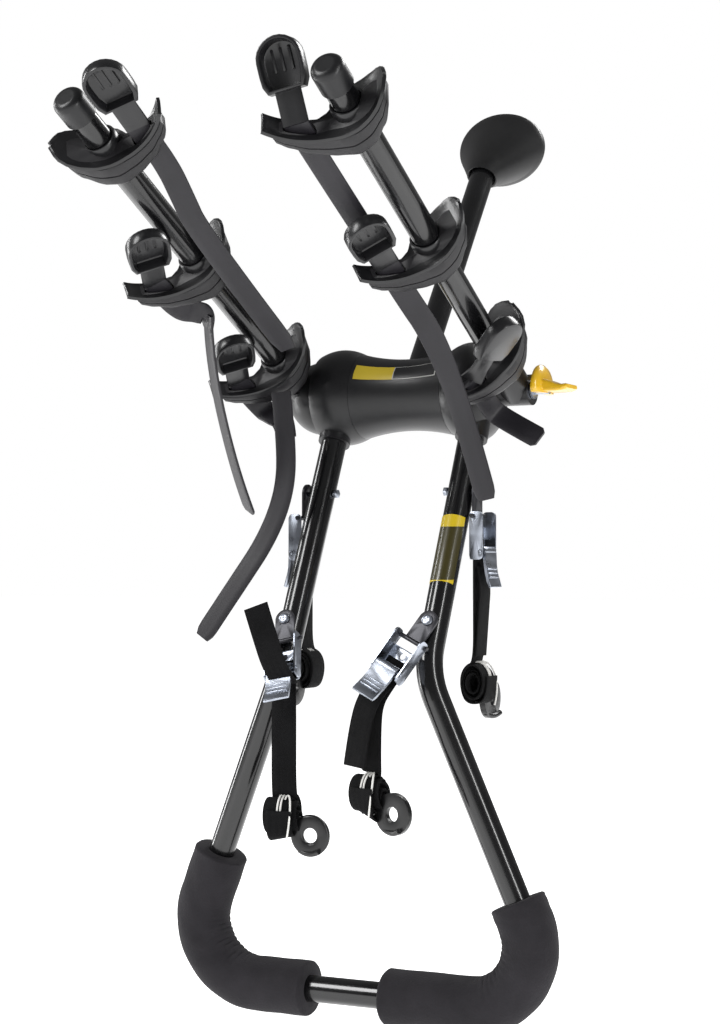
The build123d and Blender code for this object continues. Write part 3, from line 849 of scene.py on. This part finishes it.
class RACK_OT_foam_pads(bpy.types.Operator):
    """Add the two foam pads round the frame's lower corners"""

    bl_idname = "rack.foam_pads"
    bl_label = "Foam pads"

    def execute(self, context):
        settings = context.scene.boot_rack
        foam = finish_named(
            "charcoal_foam", tuple(settings.pad_colour), 0.93, grain=520, bump=0.75,
            mottling=0.2, sheen=0.05, specular=0.16, depth=0.0007,
        )
        for name in SIDES:
            line, centre, bend = pad_route(name)
            loops = []
            way = tangents(line)
            sides = 64
            side = way[0].orthogonal().normalized()
            for i, point in enumerate(line):
                side = (side - way[i] * side.dot(way[i])).normalized()
                other = way[i].cross(side)
                inward = (centre - point).normalized()
                loop = []
                t = (i - bend[0]) / (bend[1] - bend[0])
                bent = max(0.0, min(1.0, 1.6 * (1 - abs(2 * t - 1)))) if 0 <= t <= 1 else 0.0
                for k in range(sides):
                    angle = 2 * pi * k / sides
                    spoke = side * cos(angle) + other * sin(angle)
                    inner = max(0.0, spoke.dot(inward)) ** 1.5
                    fold = abs(sin(i * 0.78 + 0.5 * sin(angle * 2 + i * 0.13)))
                    crease = (1 - fold) ** 2.2
                    radius = PAD_R * MM - settings.fold_depth * inner * bent * crease * 1.6
                    radius -= 0.35 * MM * sin(angle * 3 + i * 0.21) ** 2
                    loop.append(point + spoke * radius)
                loops.append(loop)
            bore_r = (TUBE_R + 0.25) * MM
            bore = []
            for point, loop in zip(line, loops):
                bore.append([point + (p - point).normalized() * bore_r for p in loop])
            rim = []
            for end, step in ((0, 1), (-1, -1)):
                lip = [p.lerp(q, 0.1) for p, q in zip(loops[end], bore[end])]
                edge = [p + way[end] * step * 1.6 * MM for p in loops[end]]
                rim.append((lip, edge))
            skin = [rim[0][0], rim[0][1], *loops[1:-1], rim[1][1], rim[1][0]]
            pad = mesh_piece(f"foam_pad_{name}_skin", *ring_loops(skin + bore[::-1]))
            dress(pad, foam, "legs", [f"foam_pad_{name}"], smooth=60)
        return {"FINISHED"}


# ------------------------------------------------------------ cradles
LOW_EDGE = [(-67, -24), (-45, -25), (-22, -26), (-4, -28), (6, -28), (18, -26), (28, -23),
            (34, -18), (37, -11), (38.5, -4)]
HIGH_EDGE = [(-67, -4), (-45, -3.5), (-30, -3), (-22, 2), (-14, 13), (-4, 21), (6, 24),
             (18, 23), (28, 20), (34, 15), (37, 8), (38.5, 1)]


def trough_z(x, radius=SADDLE_R):
    return TROUGH_Z - sqrt(max(1.0, radius * radius - (x - TROUGH_X) ** 2))


def strap_slot(name, low, high):
    """The cutter for the slot that a strap goes through."""
    slot = rounded_outline(25, 6.4, 2.4, (SLOT_X, SLOT_Y))
    return mesh_piece(
        "slot_hole", *loft([[in_cradle(name, x, y, z) for x, y in slot] for z in (low, high)])
    )


def cradle_outline(inset):
    """The saddle's outline as a closed loop, inset towards the middle of each column."""
    xs = [-67 + inset + (105.5 - 2 * inset) * k / 40 for k in range(41)]
    low = [(x, between(x, LOW_EDGE) + inset) for x in xs]
    high = [(x, between(x, HIGH_EDGE) - inset) for x in xs]
    return low + high[::-1]


class RACK_OT_cradle_saddles(bpy.types.Operator):
    """Add the six moulded saddles that the bikes' tubes lie in"""

    bl_idname = "rack.cradle_saddles"
    bl_label = "Cradle saddles"

    def execute(self, context):
        columns, rows = 44, 10
        for name in CRADLES:
            body = f"cradle_{name}"
            origin, across, over, tip = cradle_frame(name)
            verts, faces = [], []
            for i in range(columns + 1):
                x = -67 + 105.5 * i / columns
                low, high = between(x, LOW_EDGE), between(x, HIGH_EDGE)
                for j in range(rows + 1):
                    y = low + (high - low) * j / rows
                    edge = abs(2 * j / rows - 1)
                    lift = 1.2 * edge**6
                    verts.append(in_cradle(name, x, y, trough_z(x) + lift))
            for i in range(columns):
                for j in range(rows):
                    a = i * (rows + 1) + j
                    faces.append((a, a + 1, a + rows + 2, a + rows + 1))
            saddle = mesh_piece(f"saddle_{name}", verts, faces)
            # the wall is built on the side that faces the hub
            facing = sum((p.normal.dot(tip) for p in saddle.data.polygons), 0.0)
            add_modifier(saddle, "SOLIDIFY", thickness=2.9 * MM, offset=-1 if facing > 0 else 1)
            cut(saddle, strap_slot(name, -40, 0))
            cut(saddle, round_bar("bore", origin - tip * 20 * MM, tip, TUBE_R + 0.35, 60, sides=48))
            add_modifier(
                saddle, "BEVEL", width=0.7 * MM, segments=2, limit_method="ANGLE",
                angle_limit=radians(40),
            )
            collar_loops = []
            for radius, z in (
                (13.05, -30), (16.2, -30), (16.2, -21), (15.6, -17), (14.9, -16), (13.6, -16),
                (13.05, -16.6),
            ):
                collar_loops.append(oval(origin + tip * z * MM, across, over, radius, radius, 48))
            collar = mesh_piece("collar", *ring_loops(collar_loops))
            saddle = joined(f"saddle_{name}", [saddle, collar])
            dress(saddle, cradle_plastic(), body, [f"cradle_saddle_{name}"], 35)
        return {"FINISHED"}


class RACK_OT_cradle_rubbers(bpy.types.Operator):
    """Add the six rubber bodies under the saddles"""

    bl_idname = "rack.cradle_rubbers"
    bl_label = "Cradle bodies"

    def execute(self, context):
        steps = [(0.0, 0.0), (0.04, 0.0), (0.06, 0.8), (0.1, 0.8), (0.12, 0.1), (0.42, -0.2),
                 (0.47, 0.0), (0.49, 1.0), (0.51, 1.0), (0.53, 0.0), (0.8, 0.2), (0.9, 1.2),
                 (0.96, 2.8), (1.0, 5.0)]
        bottom = [(-64, -22), (-56, -32), (-40, -46), (-20, -55), (-4, -58), (12, -52),
                  (26, -38), (35, -24)]
        for name in CRADLES:
            outline = cradle_outline(3.2)
            loops = []
            for depth, inset in steps:
                loop = []
                for x, y in outline:
                    px = x + (-1 if x > -14 else 1) * inset * min(1, abs(x + 14) / 50)
                    py = y + (-12 - y) / max(8, abs(-12 - y)) * inset
                    top, low = trough_z(px, SADDLE_R + 3.1), between(px, bottom)
                    loop.append(in_cradle(name, px, py, top + (low - top) * depth))
                loops.append(loop)
            rubber = mesh_piece(f"cradle_body_{name}", *loft(loops))
            origin, across, over, tip = cradle_frame(name)
            cut(rubber, round_bar("bore", origin - tip * 40 * MM, tip, TUBE_R + 0.6, 90, sides=48))
            cut(rubber, strap_slot(name, -80, 0))
            dress(
                rubber, body_rubber(), f"cradle_{name}", [f"cradle_rubber_{name}"], 50
            )
        return {"FINISHED"}


def tail_routes():
    """Each rubber tail's route from under its cradle, and the way its width runs."""
    routes = {
        "right_1": [in_cradle("right_1", *p) for p in ((-42, -15, -30), (-42, -15, -60),
                                                       (-42, -13, -160), (-42, -10, -318))],
        "right_2": [in_cradle("right_2", *p) for p in ((-42, -15, -30), (-42, -16, -60))]
        + [at_hub(105, -180, 40), at_hub(109, -144, 0), at_hub(119, -124, -52),
           at_hub(131, -112, -111)],
        "right_3": [in_cradle("right_3", *p) for p in ((-42, -15, -30), (-42, -16, -60),
                                                       (-42, -28, -70), (-41, -72, -76))],
        "left_1": [in_cradle("left_1", *p) for p in ((-42, -15, -30), (-42, -16, -60),
                                                     (-38, -24, -94), (-32, -32, -134),
                                                     (-30, -33, -320))],
        "left_2": [at_hub(-124, -187, 68), at_hub(-130, -177, 46), at_hub(-136, -150, -11),
                   at_hub(-137, -110, -85), at_hub(-140, -80, -117)],
        "left_3": [at_hub(-98, -92, 0), at_hub(-94, -88, -49), at_hub(-94, -90, -97),
                   at_hub(-111, -95, -144), at_hub(-141, -105, -191), at_hub(-174, -115, -242)],
    }
    own = {name: cradle_frame(name)[1] for name in CRADLES}
    widths = {
        "right_1": [own["right_1"]],
        "right_2": [own["right_2"], own["right_2"], X, X],
        "right_3": [own["right_3"]],
        "left_1": [own["left_1"]],
        "left_2": [Vector((0.74, -0.67, 0))],
        "left_3": [X],
    }
    return routes, widths


# where a strap runs from its slot, under its own saddle, to its tail; from the hub's middle
UNDER_SADDLE = {
    "left_2": [(-133, -188, 70), (-125, -186, 66), (-128, -181, 54)],
    "left_3": [(-116, -66, -24), (-97, -86, -30), (-94, -88, -46)],
}


class RACK_OT_cradle_straps(bpy.types.Operator):
    """Add the six rubber straps with their scoop-shaped heads"""

    bl_idname = "rack.cradle_straps"
    bl_label = "Cradle straps"

    def execute(self, context):
        routes, widths = tail_routes()
        for name in CRADLES:
            body = f"cradle_{name}"
            flip = CRADLES[name][0] * CRADLES[name][3]
            origin, across, over, tip = cradle_frame(name)
            stem_way, width_way = HEADS[name]
            lean = (across * stem_way[0] + over * stem_way[1] + tip * stem_way[2]).normalized()
            wide = across * width_way[0] + over * width_way[1] + tip * width_way[2]
            wide = (wide - lean * wide.dot(lean)).normalized()
            face = lean.cross(wide) * -flip
            root = in_cradle(name, SLOT_X, SLOT_Y, -10)
            pieces = []

            def taper(t):
                return 1.0 if t < 0.97 else 1.0 - 0.3 * ((t - 0.97) / 0.03) ** 3

            tail = ribbon_piece(
                f"strap_{name}", smooth_line(routes[name], 16), widths[name], 22 * MM, 3 * MM,
                taper,
            )
            pieces.append(tail)
            through = [root - tip * 26 * MM, root - tip * 12 * MM, root]
            pieces.append(ribbon_piece("through", through, [across], 22.4 * MM, 3.4 * MM))
            if name in UNDER_SADDLE:
                under = [in_cradle(name, SLOT_X, SLOT_Y, z) for z in (-28, -58)]
                under += [at_hub(*point) for point in UNDER_SADDLE[name]]
                turn = [across, across, widths[name][0]]
                pieces.append(ribbon_piece("under", smooth_line(under), turn, 22 * MM, 3 * MM))
            stem = [root - lean * 1 * MM, root + lean * 12 * MM, root + lean * 30 * MM]
            hard = [ribbon_piece("stem", stem, [across.lerp(wide, 0.5), wide], 23 * MM, 3.4 * MM)]

            def head_loop(margin, height, base=0.0):
                """An arch: straight ledge at the stem, rounded towards the free end."""
                half, reach = 20 - margin, 46 - margin
                points = [(-half * 0.8, base + margin * 0.8), (half * 0.8, base + margin * 0.8)]
                points += [(half * 0.97, base + margin + 7), (half, base + margin + 15)]
                centre = reach - half * 0.95
                for k in range(13):
                    angle = pi * k / 12
                    points.append((half * cos(angle), centre + half * 0.95 * sin(angle)))
                points += [(-half, base + margin + 15), (-half * 0.97, base + margin + 7)]
                return [
                    root + lean * 27 * MM + (wide * u + lean * v + face * height) * MM
                    for u, v in points
                ]

            head = mesh_piece(
                "head",
                *loft(
                    [
                        head_loop(2.5, -6.4), head_loop(0.8, -5.8), head_loop(0.0, -4.2),
                        head_loop(0.0, 4.6), head_loop(0.5, 6.0), head_loop(1.6, 6.5),
                        head_loop(3.0, 6.2), head_loop(3.8, 5.0), head_loop(4.4, -3.6),
                        head_loop(5.6, -4.6),
                    ]
                ),
            )
            hard.append(head)
            for u in (-7.5, 0, 7.5):
                rib = plate_piece(
                    "rib", rounded_outline(2.2, 20, 1.0, (u, 27)),
                    root + (lean * 27 - face * 3.6) * MM, wide * -flip, lean, 2.6, 0.5,
                )
                hard.append(rib)
            dress(joined(f"strap_head_{name}", hard), cradle_plastic(), body)
            strap = joined(f"strap_{name}", pieces)
            dress(strap, strap_rubber(), body, [f"cradle_strap_{name}"], 40)
        return {"FINISHED"}


# ------------------------------------------------------------ buckles and brackets
class RACK_OT_cam_buckles(bpy.types.Operator):
    """Add the four brackets, cam buckles and levers"""

    bl_idname = "rack.cam_buckles"
    bl_label = "Cam buckles"

    def execute(self, context):
        for name in ANCHORS:
            body = f"anchor_{name}"
            origin, down, across, out = anchor_frame(name)
            half = BUCKLE_INSIDE / 2
            cheek = rounded_outline(
                BUCKLE_LENGTH, 14, 4.5, (BRACKET_BAR + BUCKLE_LENGTH / 2 - 4, 7)
            )
            pieces = []
            for y in (-half - BUCKLE_WALL, half):
                # the plate grows along its own normal, so its corner starts on the inner face
                start = origin + across * (y + BUCKLE_WALL) * MM
                pieces.append(
                    plate_piece(
                        "cheek", cheek, start, down, out, BUCKLE_WALL, 0.4, 2,
                        [(CAM_X, CAM_Z, 1.8)],
                    )
                )
            base = plate_piece(
                "base", rounded_outline(32, 30.4, 1.0, (BRACKET_BAR + 26, 0)),
                origin, down, across, BUCKLE_WALL, 0.35, 2, [(BRACKET_BAR + 17, 0, 3.0)],
            )
            buckle = joined(f"buckle_{name}", pieces + [base])
            dress(buckle, bright_zinc(), body, [f"cam_buckle_{name}"], 30)

            tab = [(-10 * cos(radians(a)), 10 * sin(radians(a))) for a in range(-80, 81, 16)]
            tab += [(10, 10), (BRACKET_BAR - 1, 10), (BRACKET_BAR + 1, 7), (BRACKET_BAR + 1, -7),
                    (BRACKET_BAR - 1, -10), (10, -10)]
            strip = plate_piece(
                "strip", tab, origin, down, across, 2.4, 0.5, 2, [(0, 0, 2.6)]
            )
            bar = round_bar(
                "bar", on_anchor(name, BRACKET_BAR, 0, 3.2), across, 2.2, BUCKLE_INSIDE + 8, 0.5
            )
            bracket = joined(f"bracket_{name}", [strip, bar])
            dress(bracket, dark_steel(), body, [f"anchor_bracket_{name}"], 30)

            profile = [(-2, 1.2), (8, 2.0), (20, 3.6), (30, 5.8), (35, 8.4), (34, 10.2),
                       (29, 8.2), (19, 6.0), (8, 4.6), (-2, 4.6)]
            start = on_anchor(name, CAM_X, 13, CAM_Z)
            blade = plate_piece("blade", profile, start, down, out, 26, 0.5, 2)
            roller = round_bar("roller", on_anchor(name, CAM_X, 0, CAM_Z), across, 4.8, 26, 0.6)
            pin = round_bar("pin", on_anchor(name, CAM_X, 0, CAM_Z), across, 1.5, 34.6, 0.5)
            grips = [
                round_bar(
                    "grip", on_anchor(name, CAM_X + x, 0, CAM_Z + z), across, 0.9, 21, 0.3, 12
                )
                for x, z in ((17, 5.8), (21, 6.5), (25, 7.3))
            ]
            lever = joined(f"cam_lever_{name}_plate", [blade, roller, pin] + grips)
            dress(lever, bright_zinc(), f"cam_lever_{name}", [f"cam_lever_{name}"], 30)
        return {"FINISHED"}


class RACK_OT_screws(bpy.types.Operator):
    """Add the cross-head screws and nuts that hold the brackets"""

    bl_idname = "rack.screws"
    bl_label = "Bracket screws"

    def execute(self, context):
        pieces = []
        for name in ANCHORS:
            origin, down, across, out = anchor_frame(name)
            loops = []
            for radius, height in ((5.5, 2.5), (5.5, 3.4), (5.1, 4.2), (4.0, 4.75), (2.2, 4.95)):
                loops.append(oval(origin + out * height * MM, down, across, radius, radius, 36))
            head = mesh_piece("head", *loft(loops))
            for u, v in ((down, across), (across, down)):
                cross = plate_piece(
                    "cross", rounded_outline(5.6, 1.1, 0.3), origin + out * 3.4 * MM, u, v, 4, 0
                )
                shift = (origin + out * 5.4 * MM) - sum(
                    (w.co for w in cross.data.vertices), Vector()
                ) / len(cross.data.vertices)
                cross.data.transform(Matrix.Translation(shift))
                cut(head, cross)
            centre = origin - out * (TUBE_R + 3) * MM
            shank = round_bar("shank", centre, out, 2.45, 2 * TUBE_R + 6, 0.4, 20)
            deselect()
            turn = Z.rotation_difference(out).to_euler()
            bpy.ops.mesh.primitive_cylinder_add(
                vertices=6, radius=4.6 * MM, depth=4 * MM,
                location=centre - out * (TUBE_R + 3) * MM, rotation=turn,
            )
            nut = context.object
            bpy.ops.object.transform_apply(location=True, rotation=True, scale=True)
            add_modifier(nut, "BEVEL", width=0.5 * MM, segments=2)
            pieces += [head, shank, nut]
        screws = joined("bracket_screws", pieces)
        dress(screws, bright_zinc(), "legs", ["leg_screws"], 30)
        return {"FINISHED"}


# ------------------------------------------------------------ foot, lever and trim
class RACK_OT_foot(bpy.types.Operator):
    """Add the rubber foot with its collar ring"""

    bl_idname = "rack.foot"
    bl_label = "Foot"

    def execute(self, context):
        way = Vector((0, cos(radians(STAY_RISE)), sin(radians(STAY_RISE))))
        end = HUB + way * STAY_LENGTH * MM
        other = way.cross(X).normalized() * -1
        count = 72

        def ring(radius, back):
            return oval(end - way * back * MM, X, other, radius, radius, count)

        def face(width, height, y):
            return oval(Y * y * MM, X, Z, width / 2, height / 2, count)

        def mixed(a, b, t):
            return [p.lerp(q, t) for p, q in zip(a, b)]

        neck, base = ring(16.6, 4.5), face(99, 79, -9)
        loops = [
            ring(12.9, -7), ring(12.9, -3), ring(14.2, 3), ring(15.6, 4.6), neck,
            mixed(ring(17.0, 3), base, 0.04),
            mixed(neck, base, 0.22), mixed(neck, base, 0.48), mixed(neck, base, 0.76),
            mixed(neck, base, 0.94), base, face(100, 80, -6.5), face(100, 80, -2),
            face(98.6, 78.6, -0.6), face(96, 76, 0), face(60, 46, 0),
        ]
        foot = mesh_piece("foot_cup", *loft(loops, closed_start=False))
        dress(
            foot,
            finish_named(
                "foot_rubber", (0.010, 0.010, 0.0105), 0.42, grain=1200, bump=0.18, coat=0.1,
                coat_rough=0.35, specular=0.35,
            ),
            "hub", ["foot_pad"], 55,
        )
        return {"FINISHED"}


class RACK_OT_release_lever(bpy.types.Operator):
    """Add the release lever: a domed half disc with a flared handle"""

    bl_idname = "rack.release_lever"
    bl_label = "Release lever"

    def execute(self, context):
        paint = finish_named(
            "yellow_plastic", tuple(context.scene.boot_rack.lever_colour), 0.3, grain=900,
            bump=0.06, coat=0.5, mottling=0.08,
        )
        count = 28
        loops = []
        for radius, x in ((21, 138.2), (24.4, 138.6), (25, 140), (24.6, 142), (22, 144.8),
                          (16, 147), (8, 148.4), (3, 148.8)):
            loop = []
            for k in range(count + 1):
                angle = pi * k / count
                loop.append(at_hub(x, radius * cos(angle), max(radius * sin(angle), 0) - 1))
            for k in range(1, count):
                loop.append(at_hub(x, -radius + 2 * radius * k / count, -4))
            loops.append(loop)
        dome = mesh_piece("dome", *loft(loops))
        handle_loops = []
        for x, z, half_y, half_z in (
            (140, 2, 15, 5.5), (148, 3, 14.5, 6), (154, 2, 14, 5), (160, 0.6, 14.5, 3.6),
            (166, 0.4, 15, 3), (170.5, 1.2, 15, 2.6), (172, 1.5, 14.2, 1.8),
        ):
            handle_loops.append(
                [
                    at_hub(x, y, z + w)
                    for y, w in rounded_outline(2 * half_y, 2 * half_z, min(half_z, 2.4))
                ]
            )
        handle = mesh_piece("handle", *loft(handle_loops))
        for part in (dome, handle):
            cut(part, round_bar("slot_cut", at_hub(142, 0, -4), Z, 5.7, 25, sides=24))
        lever = joined("release_lever_cover", [dome, handle])
        dress(lever, paint, "release_lever", ["release_lever"], 40)
        return {"FINISHED"}


class RACK_OT_trim(bpy.types.Operator):
    """Add the plain trim plate on the hub and the plain tag on the right leg"""

    bl_idname = "rack.trim"
    bl_label = "Trim plates"

    def execute(self, context):
        radius = (50**2 + 6.5**2) / (2 * 6.5)

        def hub_patch(name, left, right, low, high, lift):
            """A thin plate that follows the hub's waisted front."""
            rows, columns = 8, 24
            verts, faces = [], []
            for i in range(columns + 1):
                x = left + (right - left) * i / columns
                hub_r = 36 + (radius - sqrt(radius**2 - x**2)) + lift
                for j in range(rows + 1):
                    angle = radians(low + (j / rows) * (high - low))
                    verts.append(at_hub(x, -hub_r * cos(angle), hub_r * sin(angle)))
            for i in range(columns):
                for j in range(rows):
                    a = i * (rows + 1) + j
                    faces.append((a, a + 1, a + rows + 2, a + rows + 1))
            patch = mesh_piece(name, verts, faces)
            add_modifier(patch, "SOLIDIFY", thickness=0.25 * MM, offset=1)
            return patch

        gold = finish_named(
            "gold_print", (0.5, 0.37, 0.02), 0.35, coat=0.3, grain=700, bump=0.04, mottling=0.08
        )
        light = finish_named(
            "light_print", (0.42, 0.42, 0.4), 0.4, coat=0.3, grain=700, bump=0.04, mottling=0.08
        )
        dark = finish_named(
            "dark_print", (0.006, 0.006, 0.007), 0.3, coat=0.4, grain=700, bump=0.04
        )
        for name, left, right, low, high, lift, paint in (
            ("hub_trim_gold", -46, -5, 21, 45, 0.3, gold),
            ("hub_trim_edge", -5, 44, 21, 45, 0.3, light),
            ("hub_trim_dark", -4, 42.8, 22.4, 43.6, 0.6, dark),
        ):
            dress(hub_patch(name, left, right, low, high, lift), paint, "hub")

        way = leg_direction(1)
        start, finish = leg_point(1, 141), leg_point(1, 211)
        verts, faces = [], []
        ahead = way.cross(X).normalized()
        if ahead.dot(Y) > 0:
            ahead = -ahead
        for i in range(25):
            point = start.lerp(finish, i / 24)
            for j in range(17):
                angle = radians(-70 + 140 * j / 16)
                spoke = ahead * cos(angle) + X * sin(angle)
                verts.append(point + spoke * (TUBE_R + 0.15) * MM)
        for i in range(24):
            for j in range(16):
                a = i * 17 + j
                faces.append((a, a + 1, a + 18, a + 17))
        tag = mesh_piece("leg_tag", verts, faces)
        add_modifier(tag, "SOLIDIFY", thickness=0.25 * MM, offset=1)
        print_tag = banded_finish(
            "tag_print", start.z, finish.z, "Z", (0.1, 0.9, 0.999),
            ((0.55, 0.4, 0.01), (0.034, 0.028, 0.003), (0.55, 0.4, 0.01), (0.55, 0.4, 0.01)),
        )
        dress(tag, print_tag, "legs")
        return {"FINISHED"}


class RACK_OT_finish_frame(bpy.types.Operator):
    """Finish the tubes, shells and axle that keep their machined shape"""

    bl_idname = "rack.finish_frame"
    bl_label = "Tubes and shells"

    def execute(self, context):
        finishes = {
            "hub_shell": hub_plastic, "leg_shell": hub_plastic, "arm_socket": hub_plastic,
            "arm_cap": hub_plastic, "foot_stay": tube_paint, "leg_frame": tube_paint,
            "arm_tube": tube_paint, "hub_axle": bright_zinc,
        }
        for name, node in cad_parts.items():
            if node.hide_render:
                continue
            kind = next((k for k in finishes if name.startswith(k)), None)
            if kind is None:
                raise RuntimeError(f"no finish for {name}")
            node.data.materials.clear()
            node.data.materials.append(finishes[kind]())
        return {"FINISHED"}


STEPS = (
    RACK_OT_stage,
    RACK_OT_webbing,
    RACK_OT_foam_pads,
    RACK_OT_cradle_saddles,
    RACK_OT_cradle_rubbers,
    RACK_OT_cradle_straps,
    RACK_OT_cam_buckles,
    RACK_OT_screws,
    RACK_OT_foot,
    RACK_OT_release_lever,
    RACK_OT_trim,
    RACK_OT_finish_frame,
)


class RACK_PT_panel(bpy.types.Panel):
    """The boot rack's settings and its pieces in building order"""

    bl_idname = "RACK_PT_panel"
    bl_label = "Boot rack"
    bl_space_type = "VIEW_3D"
    bl_region_type = "UI"
    bl_category = "Boot rack"

    def draw(self, context):
        settings = context.scene.boot_rack
        for name in BootRackSettings.__annotations__:
            self.layout.prop(settings, name)
        for step in STEPS:
            self.layout.operator(step.bl_idname)


CLASSES = (BootRackSettings, *STEPS, RACK_PT_panel)


def register():
    for item in CLASSES:
        bpy.utils.register_class(item)
    bpy.types.Scene.boot_rack = bpy.props.PointerProperty(type=BootRackSettings)


def unregister():
    del bpy.types.Scene.boot_rack
    for item in reversed(CLASSES):
        bpy.utils.unregister_class(item)


def main():
    register()
    for step in STEPS:
        group, verb = step.bl_idname.split(".")
        getattr(getattr(bpy.ops, group), verb)()


if __name__ == "__main__":
    main()
